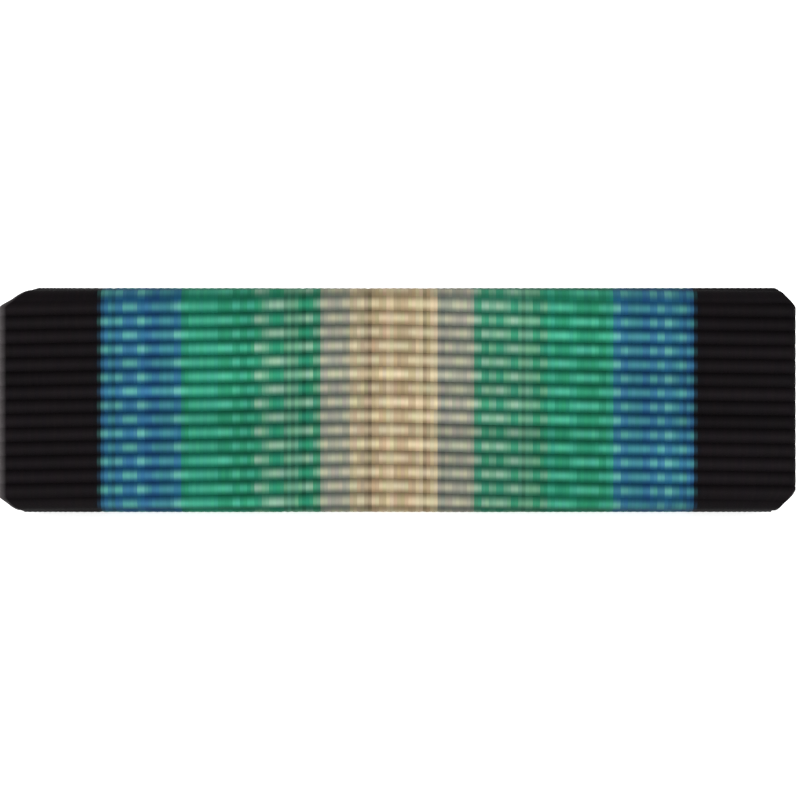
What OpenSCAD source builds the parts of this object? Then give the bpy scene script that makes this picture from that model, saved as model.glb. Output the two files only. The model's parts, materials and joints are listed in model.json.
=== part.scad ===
// Ribbon bar: a ribbed, striped band of woven cloth wrapped round a thin folded strip of brass,
// held on a flat bar with two pointed posts. Millimetres, +Z up, X along the bar.
// It stands by itself on its lower back fold and the tips of its posts, its face leaning back.
// Each piece is drawn upright in the bar's own frame, where the front faces -Y and the middle
// of the bar is at x = 0 and z = 0, and stood() then leans it back onto the surface.

/* [Bar] */
// Width of the bar, from one woven edge to the other
bar_w = 34.9; // [26:0.1:60]
// Height of the bar, over the ribs
bar_h = 9.88; // [9:0.02:14]

/* [Ribbon] */
// Thickness of the cloth at the bottom of its grooves
cloth_t = 1; // [0.8:0.05:1.3]
// Height of the ribs above their grooves
rib_rise = 0.17; // [0.05:0.01:0.25]
// Distance from one rib to the next
rib_pitch = 0.612; // [0.45:0.002:1]
// How far the ribs bow up at mid width, where the weave was pulled
weave_bow = 0.27; // [0:0.01:0.6]
// Outer radius of the four folds
fold_r = 0.6; // [0.3:0.05:0.9]
// Cloth turned down behind, from the bar's top or bottom to the cut edge
tail_h = 3.25; // [2.4:0.05:3.5]
// Width of the widest clipped corner
corner_w = 1.55; // [0.4:0.05:2.5]
// Height of the tallest clipped corner
corner_h = 1; // [0.3:0.05:1.4]

/* [Clip] */
// Thickness of the folded strip
clip_t = 0.3; // [0.25:0.05:0.6]
// Height of the lips that hold the flat bar, from the clip's top or bottom
lip_h = 2.3; // [1.4:0.05:2.6]
// Distance from the cloth's woven edge in to the clip's end
clip_inset = 0.3; // [0:0.05:1.5]

/* [Post bar] */
// Thickness of the flat bar
plate_t = 0.5; // [0.4:0.05:1]
// Distance from the clip's end in to the flat bar's end
plate_inset = 0.5; // [0:0.05:3]
// Radius of a post
post_r = 0.55; // [0.4:0.05:0.8]
// Length of a post, from the flat bar's back to its tip
post_len = 8; // [6:0.1:12]
// Length of the taper, from the straight shaft to the tip
taper_len = 1.5; // [0.8:0.1:2.5]
// Radius of the blunted tip
tip_r = 0.18; // [0.1:0.02:0.3]
// Distance between the two posts
post_gap = 20; // [12:0.5:24]
// Radius of the solder round a post's foot
solder_r = 0.95; // [0.85:0.05:1.2]
// Height of the solder round a post's foot
solder_h = 0.3; // [0.1:0.05:0.6]

/* [Fit] */
// Gap between the cloth and the clip
cloth_gap = 0.08; // [0.05:0.01:0.2]
// Gap on every side of the flat bar in the clip's channel
slide_gap = 0.06; // [0.03:0.01:0.15]

/* [Hidden] */
$fn = 64;

// The four clipped corners, each one a little different, as the cloth was folded:
// [end of the bar, top or bottom, width as a share of corner_w, height as a share of corner_h]
CORNERS = [
    [-1,  1, 1.00, 0.88],
    [-1, -1, 0.61, 0.65],
    [ 1,  1, 0.48, 0.88],
    [ 1, -1, 0.57, 1.00],
];
function end_of(corner) = corner[0];
function edge_of(corner) = corner[1];
function cut_w(corner) = corner_w * corner[2];
function cut_h(corner) = corner_h * corner[3];
// The share of a clipped corner's curve that is a straight slant; the rest is rounded
slant = 0.65;

// The bow of the weave: [share of the width from the left, rise as a share of weave_bow]
BOW = [
    [0.00,  0.00],
    [0.13,  0.37],
    [0.25,  0.48],
    [0.37,  0.78],
    [0.46,  1.00],
    [0.58,  0.66],
    [0.70,  0.33],
    [0.82,  0.00],
    [1.00, -0.35],
];

// Rise of the cloth at each quarter of a rib, from one groove on, as shares of rib_rise
RIB = [0, 0.75, 1, 0.75];
// Spans between the columns of points across the width
spans = 16;

// The band at the level of its grooves: its height, its depth, and where its cut edges are
band_h = bar_h - 2 * rib_rise;
band_d = clip_d(plate_t) + 2 * (cloth_t + cloth_gap);
band_tail = tail_h - rib_rise;

// The hollow inside the cloth
hollow_h = band_h - 2 * cloth_t;
hollow_d = band_d - 2 * cloth_t;
hollow_r = clip_t + cloth_gap;

// The clip, which fills the hollow, and its channel
clip_w = bar_w - 2 * clip_inset;
clip_h = hollow_h - 2 * cloth_gap;
clip_y = cloth_t + cloth_gap;
channel_h = clip_h - 2 * clip_t;
channel_d = plate_t + 2 * slide_gap;

// The flat bar in the channel, and where its posts start and end
plate_w = clip_w - 2 * plate_inset;
plate_h = channel_h - 2 * slide_gap;
plate_y = clip_y + clip_t + slide_gap;
post_y = plate_y + plate_t;
tip_y = post_y + post_len - tip_r;

// The lower back fold, rounded over its ribs, on which the bar stands with its two tips
foot_r = fold_r + rib_rise;
foot_y = band_d - fold_r;
foot_z = fold_r - band_h / 2;
// The lean of the line that touches both, which is how far the face looks up
reach = norm([tip_y - foot_y, foot_z]);
lean = atan2(-foot_z, tip_y - foot_y) + asin((foot_r - tip_r) / reach);
// The leaned bar's front, back and lowest level
front_y = fold_r * cos(lean) + foot_z * sin(lean) - foot_r;
back_y = tip_y * cos(lean) + tip_r;
floor_z = -tip_y * sin(lean) - tip_r;

// Depth of the clip over a flat bar of thickness t
function clip_d(t) = t + 2 * (slide_gap + clip_t);

// A number between a and b, mixed by a share
function mix(a, b, share) = a + (b - a) * share;

// A number held between 0 and 1
function unit(x) = max(0, min(1, x));

// The lengths of a wrapped band's nine stretches: tail, fold, side, fold and so on to a tail
function stretches(h, d, r, tail) =
    let (fold = PI * r / 2)
    [tail - r, fold, d - 2 * r, fold, h - 2 * r, fold, d - 2 * r, fold, tail - r];

// The place at length s along the stretches: the number of its stretch, plus the share along it
function place_at(s, lengths, i = 0) =
    i == len(lengths) - 1 || s <= lengths[i]
        ? i + unit(s / lengths[i])
        : place_at(s - lengths[i], lengths, i + 1);

// The point [y, z] of fold k at an angle from +Y: top back, top front, low front, low back
function on_fold(k, angle, h, d, y, r) = [
    (k == 1 || k == 2 ? y + r : y + d - r) + r * cos(angle),
    (k < 2 ? h / 2 - r : r - h / 2) + r * sin(angle),
];

// The point [y, z] at a place along a band of height h, from depth y to y + d
function band_point(place, h, d, y, r, tail) =
    let (
        i = min(8, floor(place)),
        k = floor(i / 2),
        from = i == 0 ? [y + d, h / 2 - tail] : on_fold(k - 1, 90 * k, h, d, y, r),
        to = i == 8 ? [y + d, tail - h / 2] : on_fold(k, 90 * k, h, d, y, r)
    )
    i % 2 == 1
        ? on_fold(k, 90 * (k + place - i), h, d, y, r)
        : mix(from, to, place - i);

// The direction that the band faces at a place, as an angle from +Y
function band_angle(place) =
    let (i = min(8, floor(place)))
    90 * (floor(i / 2) + (i % 2) * (place - i));

// The share of a corner's width that is gone at a share of its height
function corner_curve(t) = slant * t + (1 - slant) * (1 - sqrt(1 - t * t));

// The x of one end of the cloth at a level z
function end_x(end, z) =
    let (
        corner = [for (c = CORNERS) if (end_of(c) == end && edge_of(c) * z >= 0) c][0],
        gone = unit((abs(z) - band_h / 2) / cut_h(corner) + 1)
    )
    end * (bar_w / 2 - cut_w(corner) * corner_curve(gone));

// Half the band, from the middle of the face to a cut edge, and as far as the end of its sides
lengths = stretches(band_h, band_d, fold_r, band_tail);
half_l = lengths * [for (l = lengths) 1] / 2;
sides_l = lengths[4] / 2 + lengths[3] + lengths[2];
// The ribs count from a groove at the middle of the face, and are spaced for the bar to stand
// on the crest of one, where the lower back fold faces straight down
foot_l = sides_l + lengths[1] * lean / 90;
pitch = foot_l / (round(foot_l / rib_pitch - 0.5) + 0.5);
// Steps of a quarter of a rib, from the middle of the face to a cut edge
step_l = pitch / len(RIB);
steps = round(half_l / step_l);

// The length along the band at a step counted from the middle of the face, down being positive
function step_at(step) = half_l + (abs(step) == steps ? sign(step) * half_l : step * step_l);

// A point of the ribbed outside, at a step along the band and a share u of its width.
// The weave is bowed on the face, and the bow dies out over the band's top and bottom.
function cloth_point(step, u) =
    let (
        bow = weave_bow * lookup(u, BOW) * unit((sides_l - abs(step) * step_l) / lengths[2]),
        place = place_at(step_at(step) - bow, lengths),
        p = band_point(place, band_h, band_d, 0, fold_r, band_tail),
        angle = band_angle(place),
        rise = rib_rise * RIB[abs(step) % len(RIB)]
    )
    [
        mix(end_x(-1, p[1]), end_x(1, p[1]), u),
        p[0] + rise * cos(angle),
        p[1] + rise * sin(angle),
    ];

// A point of the plain inside, at the same step, at the cloth's left (0) or right (1) end
function hollow_point(step, u) =
    let (
        place = place_at(step_at(step), lengths),
        p = band_point(place, hollow_h, hollow_d, cloth_t, hollow_r, band_tail - cloth_t)
    )
    [cloth_point(step, u)[0], p[0], p[1]];

// Leans the upright bar back onto the surface, centred on the origin
module stood()
    translate([0, -(front_y + back_y) / 2, -floor_z])
        rotate([-lean, 0, 0])
            children();

// Runs a section drawn in y and z along the bar, centred
module along_bar(length)
    translate([-length / 2, 0, 0])
        rotate([90, 0, 90])
            linear_extrude(length)
                children();

// One solid of cloth: ribbed outside, plain inside, open behind and at both ends
module ribbon() {
    row = spans + 1;
    last = 2 * steps;
    inside = row * (last + 1);
    points = [
        for (step = [-steps : steps], c = [0 : spans]) cloth_point(step, c / spans),
        for (step = [-steps : steps], u = [0, 1]) hollow_point(step, u),
    ];
    faces = [
        for (i = [0 : last - 1], c = [0 : spans - 1])
            let (a = i * row + c, b = a + row)
            each [[a, b + 1, b], [a, a + 1, b + 1]],
        for (i = [0 : last - 1])
            let (a = i * row, b = a + row, in_a = inside + 2 * i, in_b = in_a + 2)
            each [
                [in_a, in_b + 1, in_a + 1],
                [in_a, in_b, in_b + 1],
                [a, in_b, in_a],
                [a, b, in_b],
                [a + spans, in_b + 1, b + spans],
                [a + spans, in_a + 1, in_b + 1],
            ],
        [inside, inside + 1, for (c = [spans : -1 : 0]) c],
        [inside + 2 * last, for (c = [0 : spans]) last * row + c, inside + 2 * last + 1],
    ];
    color([0.27, 0.57, 0.45])
        stood()
            polyhedron(points, faces);
}

// The clip's section: a strip folded round the channel, with a lip over its top and bottom
module clip_section() {
    d = clip_d(plate_t);
    difference() {
        union() {
            square([d - 2 * clip_t, clip_h], center = true);
            square([d, channel_h], center = true);
            for (y = [-1, 1], z = [-1, 1])
                translate([y * channel_d / 2, z * channel_h / 2])
                    circle(clip_t);
        }
        square([channel_d, channel_h], center = true);
        translate([0, lip_h - clip_h / 2])
            square([d, clip_h - 2 * lip_h]);
    }
}

// What is cut off a corner of the clip, so that it stays inside the clipped cloth
module corner_notch(corner) {
    w = end_of(corner) * cut_w(corner);
    h = edge_of(corner) * cut_h(corner);
    translate([end_of(corner) * clip_w / 2, 0, edge_of(corner) * clip_h / 2])
        rotate([90, 0, 0])
            linear_extrude(4 * band_d, center = true)
                polygon([[-2 * w, h], [w, -2 * h], [w, h]]);
}

module clip()
    color("goldenrod")
        stood()
            difference() {
                translate([0, clip_y + clip_d(plate_t) / 2, 0])
                    along_bar(clip_w)
                        clip_section();
                for (c = CORNERS)
                    corner_notch(c);
            }

// One round post, pointing +Z from the flat bar's back: solder, shaft, taper and blunt tip
module post()
    rotate_extrude()
        polygon([
            [0, -plate_t / 2],
            [solder_r, -plate_t / 2],
            [solder_r, 0],
            [post_r, solder_h],
            [post_r, post_len - taper_len],
            for (a = [0, 30, 60])
                [tip_r * cos(a), post_len - tip_r + tip_r * sin(a)],
            [0, post_len],
        ]);

module post_bar()
    color("darkgoldenrod")
        stood()
            union() {
                translate([-plate_w / 2, plate_y, -plate_h / 2])
                    cube([plate_w, plate_t, plate_h]);
                for (x = [-1, 1])
                    translate([x * post_gap / 2, post_y, 0])
                        rotate([-90, 0, 0])
                            post();
            }

ribbon();
clip();
post_bar();
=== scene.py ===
# Ribbon bar: a striped, ribbed band of cloth wrapped round a folded brass clip, which grips a flat
# brass bar with two posts. It stands leaning back on its lower back fold and the tips of its posts.
# Sizes are in millimetres in the bar's own upright frame, and stood() puts them in the scene.
import json
import math
import bpy
import numpy as np
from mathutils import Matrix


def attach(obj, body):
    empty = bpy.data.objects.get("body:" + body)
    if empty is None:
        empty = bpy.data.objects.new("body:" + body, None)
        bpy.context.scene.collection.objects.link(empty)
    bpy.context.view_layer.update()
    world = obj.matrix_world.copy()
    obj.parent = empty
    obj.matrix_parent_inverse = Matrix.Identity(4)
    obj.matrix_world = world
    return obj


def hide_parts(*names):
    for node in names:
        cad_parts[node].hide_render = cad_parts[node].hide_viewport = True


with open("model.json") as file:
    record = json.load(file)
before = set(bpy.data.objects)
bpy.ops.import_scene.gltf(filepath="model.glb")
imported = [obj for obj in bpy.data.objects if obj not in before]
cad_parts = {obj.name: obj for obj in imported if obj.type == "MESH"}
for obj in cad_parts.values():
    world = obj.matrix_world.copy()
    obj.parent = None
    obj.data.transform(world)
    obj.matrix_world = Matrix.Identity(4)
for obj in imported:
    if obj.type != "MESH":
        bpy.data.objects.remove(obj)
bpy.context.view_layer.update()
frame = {"nodes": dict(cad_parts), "record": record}


# The post bar: a flat strip of rolled brass with two drawn brass posts soldered to its back.
# It is held in the clip's channel, and its posts go through cloth into pinch clutches.
# Its solid keeps its shape, so it only gets its finish: rolling marks, solder, tarnish and wear.
flat_back = 1.94         # depth of the flat bar's back, behind the cloth's grooves
shaft_l = 6.2            # straight length of a post, which the mount is in the middle of
post_gap = 20            # distance between the posts
solder_h = 0.3           # height of the solder round a post's foot
solder_r = 0.93          # radius of its rim
solder_slope = 0.4       # how much its radius shrinks for each millimetre of height
solder_stray = 0.25      # how far its rim strays
solder_fades = 0.07      # width over which its rim thins out
solder_ends = 0.04       # height over which its top does
solder_colour = (0.52, 0.5, 0.46, 1)
bar_wear = 0.05          # width of the wear along the edges
worn_from = math.radians(40)     # edges that turn by less stay as they are
weld_gap = 0.002         # corners nearer than this are made one
mark_depth = 0.02        # of the marks on metal and of the yarns on the cloth

# How brass looks: the scales of its noise are waves to a millimetre, and stops are (noise, share)
tarnish_scale = 0.45
TARNISH = [(0, 0), (0.42, 0.05), (0.68, 1), (1, 1)]
worn_most = 0.75         # share of the worn colour under full tarnish
speck_scale = 7
SPECKS = [(0, 0), (0.68, 0), (0.76, 1), (1, 1)]
speck_most = 0.4         # share of the speck's colour in a speck
speck_colour = (0.2, 0.12, 0.05, 1)
grain_scale = 9
mark_share = 0.7         # of the drawing marks in the relief, and the rest is grain
clean_rough = 0.24       # roughness of clean brass, and how much rougher other places are
tarnish_rough = 0.14
mark_rough = 0.1
speck_rough = 0.12
solder_rough = 0.12

post_mount = next(mount for mount in frame["record"]["mounts"] if mount["name"] == "left_post")
back_way = np.array(post_mount["axis"])
up_way = np.cross([1, 0, 0], back_way)
mount_depth = flat_back + solder_h + shaft_l / 2
face_at = np.array(post_mount["pos_m"]) - back_way * mount_depth / 1000
face_at[0] = 0


def stood(x, depth, level):
    """Points of the leaning bar in metres: its face's middle, plus x, depth and level along its axes."""
    axes = np.stack([[1, 0, 0], back_way, up_way])
    return face_at + np.stack([x, depth, level], -1) / 1000 @ axes


class Wire:
    """An output socket of a material. Arithmetic on it adds Math nodes, and node() any other node."""

    def __init__(self, tree, socket=None):
        self.tree = tree
        self.socket = socket

    def node(self, kind, settings=(), values=(), out=0):
        """Adds a node: first its settings or its ramp's stops, then the values or links of its sockets."""
        made = self.tree.nodes.new("ShaderNode" + kind)
        for name, value in dict(settings).items():
            if name == "stops":
                for _ in value[2:]:
                    made.color_ramp.elements.new(0.5)
                for stop, (place, colour) in zip(made.color_ramp.elements, value):
                    stop.position = place
                    stop.color = (*colour, 1)
            else:
                setattr(made, name, value)
        for name, value in dict(values).items():
            if isinstance(value, Wire):
                self.tree.links.new(value.socket, made.inputs[name])
            else:
                made.inputs[name].default_value = value
        return Wire(self.tree, made.outputs[out])

    def maths(self, operation, *others):
        """A Math node on this number and perhaps others."""
        return self.node("Math", {"operation": operation}, dict(enumerate([self, *others])))

    def mix(self, first, second):
        """The colour between two colours, with this wire as the share of the second."""
        return self.node("Mix", {"data_type": "RGBA"}, {0: self, 6: first, 7: second}, 2)

    def blend(self, kind, colour, amount=1):
        """This colour with another added to it, multiplied into it or mixed with it, by some amount."""
        settings = {"data_type": "RGBA", "blend_type": kind}
        return self.node("Mix", settings, {0: amount, 6: self, 7: colour}, 2)

    def ramp(self, *stops):
        """A share from 0 to 1, read off straight lines between (place, share) stops."""
        return self.node("ValToRGB", {"stops": [(at, [share] * 3) for at, share in stops]}, {0: self})

    def noise(self, scale=1, detail=2):
        """Cloudy noise from 0 to 1 at this wire's place."""
        return self.node("TexNoise", {}, {"Vector": self, "Scale": scale, "Detail": detail})

    def scaled(self, *factors):
        """This vector with its three parts multiplied."""
        return self.node("VectorMath", {"operation": "MULTIPLY"}, {0: self, 1: factors})

    def along(self, axis):
        """How far this vector reaches along an axis."""
        return self.node("VectorMath", {"operation": "DOT_PRODUCT"}, {0: self, 1: axis}, 1)

    def __add__(self, other):
        return self.maths("ADD", other)

    def __sub__(self, other):
        return self.maths("SUBTRACT", other)

    def __rsub__(self, other):
        return self.maths("MULTIPLY_ADD", -1, other)

    def __mul__(self, other):
        return self.maths("MULTIPLY", other)

    def __truediv__(self, other):
        return self.maths("DIVIDE", other)

    def __pow__(self, other):
        return self.maths("POWER", other)

    __radd__ = __add__
    __rmul__ = __mul__


def material(name, **sockets):
    """A new material, a wire to build on, and its shader, whose plain sockets are set here."""
    made = bpy.data.materials.new(name)
    made.use_nodes = True
    shader = made.node_tree.nodes["Principled BSDF"]
    for socket, value in sockets.items():
        shader.inputs[socket.replace("_", " ")].default_value = value
    return made, Wire(made.node_tree), shader


def finish(shader, height, strength, **wires):
    """Links wires to a shader's sockets, and a bump of some height from 0 to 1 to its Normal."""
    wires["Normal"] = height.node(
        "Bump", {}, {"Height": height, "Strength": strength, "Distance": mark_depth / 1000})
    for socket, wire in wires.items():
        wire.tree.links.new(wire.socket, shader.inputs[socket.replace("_", " ")])


def bar_place(start):
    """The place on the piece in millimetres along the bar's own axes, as a vector wire and its parts."""
    place = start.node("TexCoord", out=3)
    place = place.node("VectorMath", {"operation": "SUBTRACT"}, {0: place, 1: face_at})
    axes = [[1000, 0, 0], back_way * 1000, up_way * 1000]
    parts = {name: place.along(axis) for name, axis in zip("XYZ", axes)}
    return start.node("CombineXYZ", {}, parts), parts


def soldered(place, parts, colour, rough):
    """Colour and roughness with grey solder in a ring round each post's foot, ragged at its rim."""
    from_post = ((parts["X"].maths("ABSOLUTE") - post_gap / 2) ** 2 + parts["Z"] ** 2) ** 0.5
    behind = parts["Y"] - flat_back
    stray = (place.noise(scale=2.2, detail=3) - 0.5) * solder_stray
    ring = from_post + behind * solder_slope + stray
    solder = ring.ramp((0, 1), (solder_r - solder_fades, 1), (solder_r, 0), (1, 0))
    solder = solder * behind.ramp((0, 0), (0.001, 1), (solder_h, 1), (solder_h + solder_ends, 0))
    return solder.mix(colour, solder_colour), rough + solder * solder_rough


def brass(name, bright, worn, streaks, extra=None):
    """Brass with fine drawing marks, cloudy tarnish and a few dark specks, and perhaps an extra finish.

    The marks are noise with so many waves to a millimetre along the bar, in depth and in height.
    """
    made, start, shader = material(name, Metallic=1.0)
    place, parts = bar_place(start)
    marks = place.scaled(*streaks).noise(detail=3)
    specks = place.noise(speck_scale).ramp(*SPECKS)
    tarnish = place.noise(tarnish_scale, detail=4).ramp(*TARNISH)
    colour = (tarnish * worn_most).mix((*bright, 1), (*worn, 1))
    colour = (specks * speck_most).mix(colour, speck_colour)
    rough = clean_rough + tarnish_rough * tarnish + mark_rough * marks + speck_rough * specks
    if extra:
        colour, rough = extra(place, parts, colour, rough)
    height = marks * mark_share + place.noise(grain_scale) * (1 - mark_share)
    finish(shader, height, strength=0.35, Base_Color=colour, Roughness=rough)
    return made


def dressed(node, finish_of, wear):
    """Gives a brass solid its finish, and takes the sharpness off its edges by some millimetres."""
    solid = frame["nodes"][node]
    solid.data.materials.clear()
    solid.data.materials.append(finish_of)
    weld = solid.modifiers.new("one_skin", "WELD")
    weld.merge_threshold = weld_gap / 1000
    bevel = solid.modifiers.new("worn_edges", "BEVEL")
    bevel.width = wear / 1000
    bevel.segments = 2
    bevel.limit_method = "ANGLE"
    bevel.angle_limit = worn_from
    bevel.harden_normals = True


post_brass = brass("post_brass", bright=(0.78, 0.57, 0.26), worn=(0.46, 0.29, 0.11),
                   streaks=(0.5, 9, 26), extra=soldered)
dressed("post_bar", post_brass, bar_wear)


# The clip: a thin strip of brass folded over at its top and bottom, whose lips grip the flat bar.
# The cloth is wrapped tightly round it. It keeps its solid and gets its finish.
clip_wear = 0.03         # width of the wear along its edges
clip_brass = brass("clip_brass", bright=(0.83, 0.63, 0.3), worn=(0.5, 0.33, 0.13), streaks=(0.4, 30, 30))
dressed("clip", clip_brass, clip_wear)


# The ribbon: a warp-faced ribbed cloth of fine glossy yarns in stripes, wrapped round the clip.
# Its yarns run over thick wefts, which make the ribs: the odd ends show on one rib and the even
# ends on the next. Its corners are clipped, and its two cut edges are turned down behind.
bar_w = 34.9             # from one woven edge to the other
bar_h = 9.88             # over the ribs
cloth_t = 1.0            # thickness at the bottom of the grooves
rib_rise = 0.17          # height of the ribs above their grooves
rib_pitch = 0.6128       # from one rib to the next, along the cloth
fold_r = 0.6             # outer radius of the four folds, at the grooves
hollow_r = 0.38          # inner radius of the folds
tail_h = 3.25            # cloth turned down behind
band_h = bar_h - 2 * rib_rise
band_d = 3.38            # depth of the wrapped cloth at its grooves
weave_bow = 0.27         # how far the ribs bow up at mid width
bow_drop = 0.03          # how far the whole weave lies below its place
bow_bend = 0.06          # share of the width, each way, that the bow is smoothed over
corner_w = 1.55          # the widest clipped corner
corner_h = 1.0           # the tallest clipped corner
squeeze = 3.2            # width over which a clipped corner presses the yarns together
slant = 0.65             # share of a corner's curve that is straight
groove_stray = 0.02      # how far a groove strays up or down
rib_change = 0.12        # how much a rib's height changes along it, as a share
fold_fill = 0.65         # share of a groove's depth that is gone on a fold
fold_reach = 1.5         # how soon along a fold: at 1 it would be full in the middle alone
edge_r = 0.16            # width of the rounding at a woven edge
edge_sink = 0.02         # how far a woven edge lies below the grooves
edge_yarn = 0.012        # how far in a woven edge lies at a crest, and twice that at a groove
column_dent = 0.012      # how far every other column lies below the next, at a crest
parted_dent = 0.01       # how much lower a parted column lies
parted_dim = 0.83        # how dark it is beside the others
CORNERS = [              # end, top or bottom, shares of corner_w and corner_h
    (-1, 1, 1.00, 0.88),
    (-1, -1, 0.61, 0.65),
    (1, 1, 0.48, 0.88),
    (1, -1, 0.57, 1.00),
]
BOW = [                  # share of the width, rise as a share of weave_bow
    (0.00, 0.00),
    (0.13, 0.37),
    (0.25, 0.48),
    (0.37, 0.78),
    (0.46, 1.12),
    (0.58, 0.69),
    (0.70, 0.34),
    (0.82, 0.10),
    (1.00, -0.24),
]
WALL = np.array([        # share of the way in through the cloth, and distance in from the woven edge
    (0.15, 0.0),
    (0.5, 0.0),
    (0.85, 0.02),
    (1.0, 0.08),
])

# The dyes of the yarns, as sRGB colours
DYES = {
    "black": (10, 8, 9),
    "midnight": (5, 8, 12),
    "blue": (50, 110, 145),
    "slate blue": (60, 130, 140),
    "teal": (80, 155, 150),
    "mint": (95, 170, 160),
    "green": (60, 160, 130),
    "bright green": (70, 170, 140),
    "deep green": (40, 140, 105),
    "sage": (105, 160, 130),
    "pale sage": (135, 175, 150),
    "grey": (155, 155, 140),
    "pale grey": (175, 175, 150),
    "tan": (180, 165, 135),
    "ivory": (205, 195, 160),
    "cream": (210, 195, 160),
    "brown": (185, 165, 130),
}
BLUES = ["blue", "blue", "slate blue", "slate blue", "teal", "teal", "mint"]
GREENS = ["deep green", "green", "green", "bright green"]
SAGES = ["deep green", "sage", "sage", "pale sage"]
STRIPES = [              # warp ends in a stripe, and the dyes that they share out, commoner ones twice
    (13, ["black"]),
    (1, ["midnight"]),
    (11, BLUES),
    (10, GREENS),
    (9, SAGES),
    (4, ["grey", "pale grey"]),
    (3, ["tan", "ivory"]),
    (9, ["brown", "cream", "cream", "cream"]),
    (5, ["grey", "pale grey"]),
    (10, SAGES),
    (9, GREENS),
    (11, BLUES),
    (1, ["midnight"]),
    (13, ["black"]),
]


def threaded(seed):
    """The dyes of the ends across the cloth that show on the odd ribs, and on the even ones.

    A stripe's dyes are repeated over its ends, put in order from dark to light and shuffled. The even
    ends have the same order turned round, so that a light end lies beside a dark one.
    """
    shuffle = np.random.default_rng(seed)
    warps = [], []
    for count, dyes in STRIPES:
        shades = np.array(sorted(np.resize(dyes, count), key=lambda dye: sum(DYES[dye])))
        order = shuffle.permutation(count)
        warps[0].extend(shades[order])
        warps[1].extend(shades[::-1][order])
    return warps


odd_ends, even_ends = threaded(seed=11)
# Columns of faces, two to an end, where the yarns are parted: they lie lower and are darker
PARTED = [28, 31, 78, 80, 83, 101, 116, 143, 187]


def wrapped(place, height, depth, front, radius, tail):
    """Depth, level and facing angle at places along a band wrapped round the bar, and its lengths.

    The nine stretches are straight and folded in turn, from the upper cut edge over the face to the
    lower one, and a place counts them from 0 to 9. The facing angle grows by a quarter turn over each
    fold, and the points are the running sum of short steps at a right angle to the facing.
    """
    fold = radius * math.pi / 2
    stretches = [tail - radius, fold, depth - 2 * radius, fold, height - 2 * radius]
    lengths = np.cumsum([0] + stretches + stretches[3::-1])
    steps = 90           # to a stretch
    fine = np.linspace(0, 9, 9 * steps + 1)
    facing = np.interp(fine, range(10), [0, 0, 1, 1, 2, 2, 3, 3, 4, 4]) * math.pi / 2
    step = np.diff(np.interp(fine, range(10), lengths))
    heading = (facing[1:] + facing[:-1]) / 2
    y = front + depth + np.concatenate([[0], np.cumsum(-np.sin(heading) * step)])
    z = height / 2 - tail + np.concatenate([[0], np.cumsum(np.cos(heading) * step)])
    return np.interp(place, fine, y), np.interp(place, fine, z), np.interp(place, fine, facing), lengths


def missing(end, level):
    """How much of the width a clipped corner takes at a level: a slant blended with a round."""
    gone = np.zeros_like(level)
    for side, edge, width, height in CORNERS:
        if side == end:
            climb = np.clip((edge * level - bar_h / 2) / (corner_h * height) + 1, 0, 1)
            curve = slant * climb + (1 - slant) * (1 - np.sqrt(1 - climb ** 2))
            gone += corner_w * width * curve
    return gone


rng = np.random.default_rng(7)
lengths = wrapped(0, band_h, band_d, 0, fold_r, tail_h - rib_rise)[3]
half_l = lengths[-1] / 2
half_ribs = half_l / rib_pitch
all_ribs = math.ceil(half_ribs)
ends = len(odd_ends)
columns = 2 * ends

# Rows of points: each has a rib's number and the share across it, and is close together at grooves
across_rib = np.array([0, 0.035, 0.11, 0.2, 0.3, 0.4, 0.5, 0.6, 0.7, 0.8, 0.89, 0.965])
rib = (np.arange(-all_ribs, all_ribs)[:, None] + across_rib).ravel()
rib = np.unique(np.clip(rib, -half_ribs, half_ribs))[:, None]
number = np.floor(rib)
share = rib - number
arch = 1 - (2 * share - 1) ** 2
column = np.arange(columns + 1)[None, :]
width_share = column / columns


def wavy(rows, size):
    """For each of some rows, a smooth random wave along the width: eight sines, the finer ones lower."""
    sines = 8
    slowest = 1.1        # waves of the first sine over the width
    falling = 0.7        # power by which the finer ones are lower
    waves = np.arange(1, sines + 1)[None, :, None]
    phase = rng.uniform(0, 2 * math.pi, (rows, sines, 1))
    height = rng.normal(0, 1, (rows, sines, 1)) / waves ** falling
    return size * (height * np.sin(2 * math.pi * slowest * waves * width_share[None] + phase)).mean(1)


# The bow of the ribs, full on the face and gone at the back folds, and each rib's own unevenness
bends = [np.interp(width_share + aside, *zip(*BOW)) for aside in np.linspace(-bow_bend, bow_bend, 7)]
bow = weave_bow * np.mean(bends, 0) - bow_drop
fade = np.clip((lengths[7] - half_l - np.abs(rib) * rib_pitch) / (lengths[7] - lengths[6]), 0, 1)
groove = wavy(2 * all_ribs + 2, groove_stray)
index = (number + all_ribs).astype(int)[:, 0]
uneven = groove[index] * (1 - share) + groove[index + 1] * share
fatness = 1 - np.abs(wavy(2 * all_ribs + 1, rib_change))[index]
along = np.clip(half_l + rib * rib_pitch - (bow + uneven) * fade, 0, 2 * half_l)
place = np.interp(along, lengths, range(10))
y, z, facing, _ = wrapped(place, band_h, band_d, 0, fold_r, tail_h - rib_rise)

# The outside: ribs with a slight dent at every other column, and rounded woven edges. Over a fold
# the stretched cloth has shallow grooves.
tight = np.clip(fold_reach * np.abs(np.sin(2 * facing)), 0, 1) * fold_fill
arch = arch + (1 - arch) * tight
from_edge = np.minimum(width_share, 1 - width_share) * bar_w
rounding = np.sqrt(1 - (1 - np.clip(from_edge / edge_r, 0, 1)) ** 2)
dent = np.where((column + number) % 2 == 1, 0, column_dent)
dent = dent + np.where(np.isin(column, PARTED), parted_dent, 0)
dent = dent * np.sin(share * math.pi)
rise = (rib_rise * arch * fatness - dent) * rounding - edge_sink * (1 - rounding)
rim = z + rib_rise * np.sin(facing)
x = (width_share - 0.5) * bar_w
x = x + missing(-1, rim) * np.clip(1 - (x + bar_w / 2) / squeeze, 0, 1)
x = x - missing(1, rim) * np.clip(1 - (bar_w / 2 - x) / squeeze, 0, 1)
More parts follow.
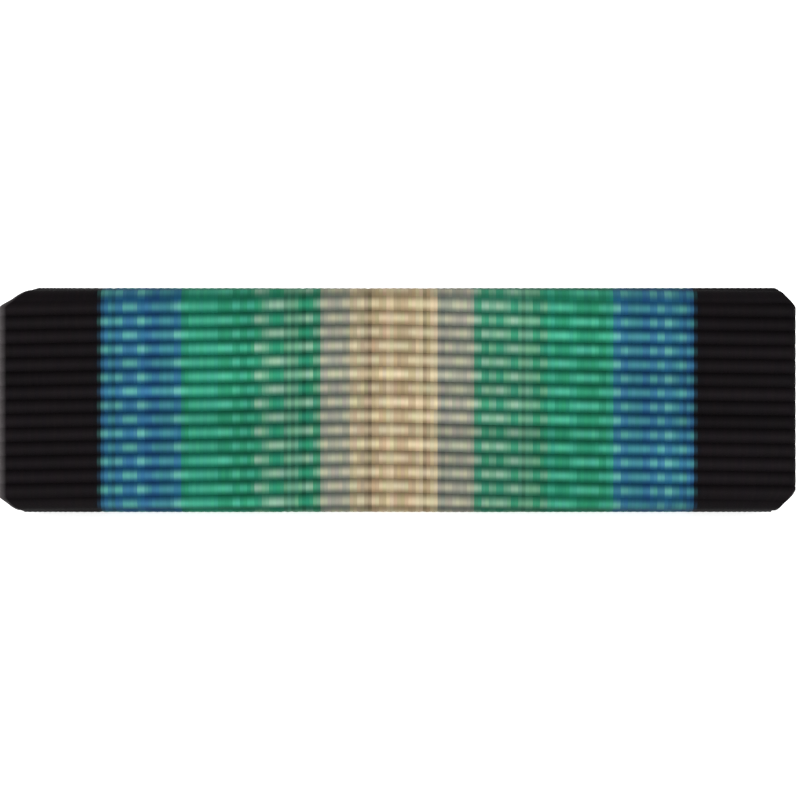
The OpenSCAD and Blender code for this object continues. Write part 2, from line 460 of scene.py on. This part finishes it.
edge_in = edge_yarn * (2 - arch)
x[:, 0] += edge_in[:, 0]
x[:, -1] -= edge_in[:, -1]
outside = np.stack([x, y + rise * np.cos(facing), z + rise * np.sin(facing)], -1)

# The plain inside has only the two ends of each row, and the woven edges join it to the outside
inner_place = np.interp(half_l + rib * rib_pitch, lengths, range(10))
inner_tail = tail_h - rib_rise - cloth_t
inner_y, inner_z, _, _ = wrapped(
    inner_place, band_h - 2 * cloth_t, band_d - 2 * cloth_t, cloth_t, hollow_r, inner_tail)
walls = []
for end, edge in ((-1, outside[:, :1]), (1, outside[:, -1:])):
    inner = np.concatenate([edge[:, :, 0], inner_y, inner_z], -1)[:, None]
    wall = edge + (inner - edge) * WALL[None, :, :1]
    wall[:, :, 0] += end * (edge_yarn - WALL[None, :, 1])
    walls.append(wall)
ring = np.concatenate([walls[0][:, ::-1], outside, walls[1]], 1)
rows, around = ring.shape[:2]
points = ring.reshape(-1, 3)
ids = np.arange(rows * around).reshape(rows, around)
turned = np.roll(ids, -1, 1)
quads = np.stack([ids[:-1], ids[1:], turned[1:], turned[:-1]], -1)
deep = len(WALL)
column_of = [np.tile(np.arange(around) - deep, rows)]
rib_of = [np.repeat(rib[:, 0], around)]

# The cut edges: a grid of faces through the cloth, under the outside's first and last rows. One
# long face closes each, between the grid's last row and the inside.
polygons = [quads[:, :-1].reshape(-1, 4), quads[1:-1, -1]]
closing = []
for row, flip in ((0, 1), (rows - 1, -1)):
    left = ids[row, deep - 1::-1]
    right = ids[row, -deep:]
    top = ids[row, deep:-deep]
    sunk = np.broadcast_to(points[top[1:-1]][None], (deep, columns - 1, 3)).copy()
    sunk[:, :, 1:] += (points[left[-1]] - sunk)[:, :, 1:] * WALL[:, None, :1]
    new = len(points) + np.arange(deep * (columns - 1)).reshape(deep, -1)
    points = np.concatenate([points, sunk.reshape(-1, 3)])
    column_of.append(np.tile(column[0, 1:-1], deep))
    rib_of.append(np.full(new.size, rib[row, 0]))
    cap = np.concatenate([top[None], np.concatenate([left[:, None], new, right[:, None]], 1)])
    cells = np.stack([cap[:-1, :-1], cap[:-1, 1:], cap[1:, 1:], cap[1:, :-1]], -1)[..., ::flip]
    polygons.append(cells.reshape(-1, 4))
    other = ids[1, [-1, 0]] if row == 0 else ids[-2, [0, -1]]
    lip = cap[-1] if row == 0 else cap[-1, ::-1]
    closing.append(np.concatenate([lip, other]).tolist())


def linear(colour):
    """sRGB from 0 to 255 as linear light, by the usual curve."""
    light = np.array(colour) / 255
    return np.where(light <= 0.04045, light / 12.92, ((light + 0.055) / 1.055) ** 2.4)


def woven(name, points, faces, column_of, rib_of):
    """A mesh of cloth with its yarns' dyes on its faces, and a map of the weave.

    Two columns of faces make one warp end. A face's colour is its own end's, with a share of
    the end beside it, for odd and for even ribs. The map holds the share of the width, and the rib's
    number brought between 0 and 1.
    """
    mesh = bpy.data.meshes.new(name)
    mesh.from_pydata(stood(*points.T), [], faces)
    mesh.shade_smooth()
    mesh.set_sharp_from_angle(angle=math.radians(70))
    corner = np.zeros(len(mesh.loops), np.int32)
    mesh.loops.foreach_get("vertex_index", corner)
    first = np.zeros(len(mesh.polygons), np.int32)
    mesh.polygons.foreach_get("loop_start", first)
    own_column = column_of[corner[first]]
    beside = 0.15
    at = own_column // 2 + (own_column % 2 * 2 - 1) * beside
    dim = np.where(np.isin(own_column, PARTED), parted_dim, 1)
    for warp, layer_name in ((odd_ends, "odd_ends"), (even_ends, "even_ends")):
        dyes = np.array([linear(DYES[dye]) for dye in warp])
        dyed = [np.interp(at, np.arange(ends), channel) * dim for channel in dyes.T]
        layer = mesh.attributes.new(layer_name, "FLOAT_COLOR", "FACE")
        colours = np.stack([*dyed, np.ones(len(at))], -1)
        layer.data.foreach_set("color", colours.astype(np.float32).ravel())
    place = np.stack([column_of / columns, rib_of / (2 * all_ribs) + 0.5], -1)[corner]
    mesh.uv_layers.new(name="weave").uv.foreach_set("vector", place.astype(np.float32).ravel())
    return mesh


def placed(name, data):
    """A new object in the scene."""
    made = bpy.data.objects.new(name, data)
    bpy.context.scene.collection.objects.link(made)
    return made


# The cloth's material, which counts columns across and ribs down. Its colours are linear light.
fibre_height = 0.35      # share of the relief that the fibres make
yarn_height = 0.22       # share that the round yarns do
cloth_rough = 0.75       # roughness in the grooves
crest_gloss = 0.2        # how much less rough the crests are
cloth_light = 0.77       # share of the dyes' light that the cloth gives back
darkest_yarn = 0.93      # share of that from the darkest yarn
yarn_change = 0.08       # how much more the lightest gives back
patch_change = 0.12      # how much cloudy patches change it
patch_scale = 420        # waves of the patches to a metre
fibre_change = 0.14      # how much single fibres change it
fibre_waves = (3.5, 0.8)         # waves of the fibres to a column and to a rib
rib_waves = (0.012, 3.7)         # the same for whole ribs
gap_shade = 0.08          # how much painted shade darkens it between two yarns
hue_change = 0.1         # how far a yarn's own hue strays from its dye
even_hue = (1.04, 1.04, 1.04, 1)
# Painted shade in the grooves and on the rib flanks: their tint, and the share of the crest's colour that
# they keep
groove_tint = (1.0, 1.13, 1.65, 1)
groove_shown = 0.06      # share of the crest's colour that a groove keeps
painted_fibre_sheen = (0.0053, 0.004, 0.0048, 1)        # painted sheen: grey light that stray fibres add everywhere
# Painted highlight on the left woven edge: a lighter grey, as if its rounding caught the light
lit_edge_grey = (0.075, 0.068, 0.07, 1)
lit_edge_most = 0.95       # share of the painted highlight's grey at the edge
lit_edge_columns = 20      # columns from the edge that the stops of the painted highlight run over
LIT_EDGE = [(0, 1), (0.02, 0.95), (0.11, 0), (1, 0)]
fold_shade = 0.38         # how much painted shade darkens the lower fold
FOLD_SHADE = [              # share of the bar's height, and of the painted fold shade
    (0, 1),
    (0.025, 1),
    (0.042, 0),
    (0.94, 0),
    (0.96, 0.5),
    (1, 0.5),
]

cloth, start, shader = material(
    "ribbon_cloth", Specular_IOR_Level=0.03, Sheen_Weight=0.01, Sheen_Roughness=0.4)
weave = start.node("UVMap", {"uv_map": "weave"})
across = weave.along((1, 0, 0)) * columns
down = weave.along((0, 1, 0)) * (2 * all_ribs) - all_ribs
column_number = across.maths("FLOOR")
rib_number = down.maths("FLOOR")
crest = 1 - (2 * (down - rib_number) - 1) ** 2
off_middle = (2 * (across - column_number) - 1) ** 2
even = rib_number.maths("FLOORED_MODULO", 2)
odd_colour = start.node("Attribute", {"attribute_name": "odd_ends"})
even_colour = start.node("Attribute", {"attribute_name": "even_ends"})
shown = even.mix(odd_colour, even_colour)
hidden = even.mix(even_colour, odd_colour)

# How much light each place gives back, by its yarn, patch and fibre, with painted shade between yarns.
# Some ribs are brighter than others, and each changes slowly along its length.
yarn_number = start.node("CombineXYZ", {}, {0: column_number, 1: rib_number})
own_light = start.node("TexWhiteNoise", {"noise_dimensions": "2D"}, {"Vector": yarn_number})
own_hue = start.node("TexWhiteNoise", {"noise_dimensions": "2D"}, {"Vector": yarn_number}, 1)
patches = start.node("TexCoord", out=3).noise(patch_scale, detail=3)
fibres = start.node("CombineXYZ", {}, {0: across * fibre_waves[0], 1: down * fibre_waves[1]}).noise()
rib_place = start.node("CombineXYZ", {}, {0: across * rib_waves[0], 1: rib_number * rib_waves[1]})
light = darkest_yarn + yarn_change * own_light
light = light + patch_change * (patches - 0.5) + fibre_change * (fibres - 0.5)
light = cloth_light * light * (1 - gap_shade * off_middle ** 3)
light = light * (0.5 + rib_place.noise(detail=1))
# Painted shade: the cloth is painted a little darker along its folds, and most along the lower one, which
# turns under
level = bar_place(start)[1]["Z"] / bar_h + 0.5
light = light * (1 - fold_shade * level.ramp(*FOLD_SHADE))

# Painted shade: the grooves and rib flanks are painted darker, with the colours of the shown and hidden
# yarns multiplied, as where light passes from yarn to yarn
groove_shade_colour = shown.blend("MULTIPLY", hidden).blend("MULTIPLY", groove_tint)
yarn = (groove_shown + (1 - groove_shown) * crest ** 3).mix(groove_shade_colour, shown)
# Painted sheen: a little grey added everywhere, for the sheen of stray fibres
yarn = yarn.blend("ADD", painted_fibre_sheen)
yarn = yarn.blend("MULTIPLY", start.node("CombineColor", {}, {0: light, 1: light, 2: light}))
yarn = yarn.blend("MULTIPLY", own_hue.blend("MIX", even_hue, 1 - hue_change))
# Painted highlight: the left woven edge is painted a lighter grey, as if its rounding caught the light
lit_edge = (across.maths("ABSOLUTE") / lit_edge_columns).ramp(*LIT_EDGE)
yarn = (lit_edge * lit_edge_most).mix(yarn, lit_edge_grey)
# The yarns are round and fibrous, and a little glossier on the crests
relief = fibre_height * fibres - yarn_height * off_middle
finish(shader, relief, strength=0.5, Base_Color=yarn, Roughness=cloth_rough - crest_gloss * crest)

ribbon = placed("ribbon_band", woven(
    "ribbon_cloth", points, np.concatenate(polygons).tolist() + closing,
    np.concatenate(column_of), np.concatenate(rib_of)))
ribbon.data.materials.append(cloth)
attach(ribbon, "root")
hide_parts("ribbon")


# The cut ends of the yarns: short stubs that stand out of the two cut edges behind, a little loose.
# They are part of the cloth, left where it was snipped.
stub_sides = 5
kept_back = 2            # columns without a stub at each woven edge
rooted = 0.05            # how far a stub starts inside the cloth
root_stray = 0.02        # how far its root strays from its yarn's place
shortest = 0.14
longest = 0.4
stub_curl = 0.05         # how far its tip curls away
LEAN = [0.35, 0.14, 0]   # how far it leans along the bar and in depth, as a share of its length
LAYERS = np.array([0.07, 0.22, 0.38, 0.54, 0.7, 0.86])   # shares of the way in through the cloth
STATIONS = np.array([0, 0.45, 0.85, 1.0])        # shares of its length: three rings and its tip
RADII = np.array([0.05, 0.056, 0.046])           # of the three rings
base = []
lean = []
way_of = []
for row, way in ((0, -1), (rows - 1, 1)):
    outer = (outside[row, 1:] + outside[row, :-1]) / 2
    inner = outer.copy()
    inner[:, 1] = inner_y[row]
    inner[:, 2] = inner_z[row]
    root = (outer + (inner - outer) * LAYERS[:, None, None])[:, kept_back:-kept_back].reshape(-1, 3)
    root = root + rng.normal(0, root_stray, root.shape) * [1, 1, 0]
    heading = rng.normal(0, 1, root.shape).clip(-2, 2) * LEAN
    heading[:, 2] = way
    base.append(root - [0, 0, way * rooted])
    lean.append(heading)
    way_of.append(np.full(len(root), way))
base = np.concatenate(base)
lean = np.concatenate(lean)
way_of = np.concatenate(way_of)
count = len(base)
stub_column = np.tile(np.arange(kept_back, columns - kept_back), 2 * LAYERS.size)
reach = rng.uniform(shortest, longest, count)
curl = rng.normal(0, stub_curl, (count, 2))

# Each stub's middle line leans and curls, with level rings round it. Faces are listed one way round
# for the stubs that point up and the other way for those that point down, so that all face outwards.
spine = base[:, None] + lean[:, None] * (reach[:, None] * STATIONS)[..., None]
spine[..., :2] += curl[:, None] * (STATIONS ** 2)[None, :, None]
angles = np.arange(stub_sides) * 2 * math.pi / stub_sides
circle = np.stack([np.cos(angles), np.sin(angles), 0 * angles], -1)
rings = spine[:, :3, None] + circle[None, None] * RADII[None, :, None, None]
ring_ids = np.arange(rings[..., 0].size).reshape(count, 3, stub_sides)
next_ids = np.roll(ring_ids, -1, 2)
tip_ids = np.broadcast_to(ring_ids.size + np.arange(count)[:, None], (count, stub_sides))
sides = np.stack([ring_ids[:, :-1], next_ids[:, :-1], next_ids[:, 1:], ring_ids[:, 1:]], -1)
cones = np.stack([ring_ids[:, 2], next_ids[:, 2], tip_ids], -1)
polygons = []
for way in (1, -1):
    for faces in (sides.reshape(count, -1, 4), cones, ring_ids[:, :1, ::-1]):
        polygons += faces[way_of == way][..., ::way].reshape(-1, faces.shape[-1]).tolist()
stub_rib = rng.choice([0.5, 1.5], count)
fringe = placed("cut_yarn_ends", woven(
    "cut_yarn_ends", np.concatenate([rings.reshape(-1, 3), spine[:, 3]]), polygons,
    np.concatenate([np.repeat(stub_column, 3 * stub_sides), stub_column]),
    np.concatenate([np.repeat(stub_rib, 3 * stub_sides), stub_rib])))
fringe.data.materials.append(cloth)
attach(fringe, "root")


# The floor: a wide white table with some light of its own, because the photograph's background is
# pure white. It isn't part of the bar.
floor_half = 2           # half of its width in metres
floor_mesh = bpy.data.meshes.new("floor")
floor_corners = floor_half * np.array([(-1, -1, 0), (1, -1, 0), (1, 1, 0), (-1, 1, 0)])
floor_mesh.from_pydata(floor_corners, [], [(0, 1, 2, 3)])
paper = material("lit_table", Base_Color=(0.93, 0.93, 0.93, 1), Roughness=0.9,
                 Emission_Color=(1, 1, 1, 1), Emission_Strength=0.72)[0]
floor_mesh.materials.append(paper)
floor = placed("floor", floor_mesh)

# The lights: a white studio all round, and a square light in front, aimed at the bar. Both are soft,
# and the bar casts next to no shadow, as in the photograph.
world = bpy.data.worlds.new("studio")
world.use_nodes = True
world.node_tree.nodes["Background"].inputs["Color"].default_value = (1, 1, 1, 1)
world.node_tree.nodes["Background"].inputs["Strength"].default_value = 1.0
bpy.context.scene.world = world
lamp_away = 0.8          # metres from the bar
lamp_up = math.radians(30)
lamp = bpy.data.lights.new("front", "AREA")
lamp.size = 0.5
lamp.energy = 2.5
front = placed("front", lamp)
front.location = (0, -lamp_away * math.cos(lamp_up), lamp_away * math.sin(lamp_up))
front.rotation_euler = (math.pi / 2 - lamp_up, 0, 0)

# The camera: it looks straight at the leaning face, as the photograph does, with a long lens that
# keeps the bar square.
frame_px = 800           # the photograph's frame, which the bar is placed in by pixels
bar_px = 796.3           # width of the bar there
right_px = 2.7           # how far the frame's middle is to the right of the bar's
down_px = 0.05           # and how far below it
px = bar_w / bar_px      # millimetres to a pixel
aim_depth = 0.2          # depth of the point that it looks at, a little behind the cloth's grooves
lens = 120
aim = stood(right_px * px, aim_depth, -down_px * px)
camera = placed("camera", bpy.data.cameras.new("camera"))
camera.data.lens = lens
camera.data.clip_start = 0.01
away = frame_px * px / 1000 * lens / camera.data.sensor_width
camera.location = aim - back_way * away
camera.rotation_euler = (math.pi / 2 - math.asin(-back_way[2]), 0, 0)
bpy.context.scene.camera = camera
bpy.context.scene.view_settings.view_transform = "Standard"
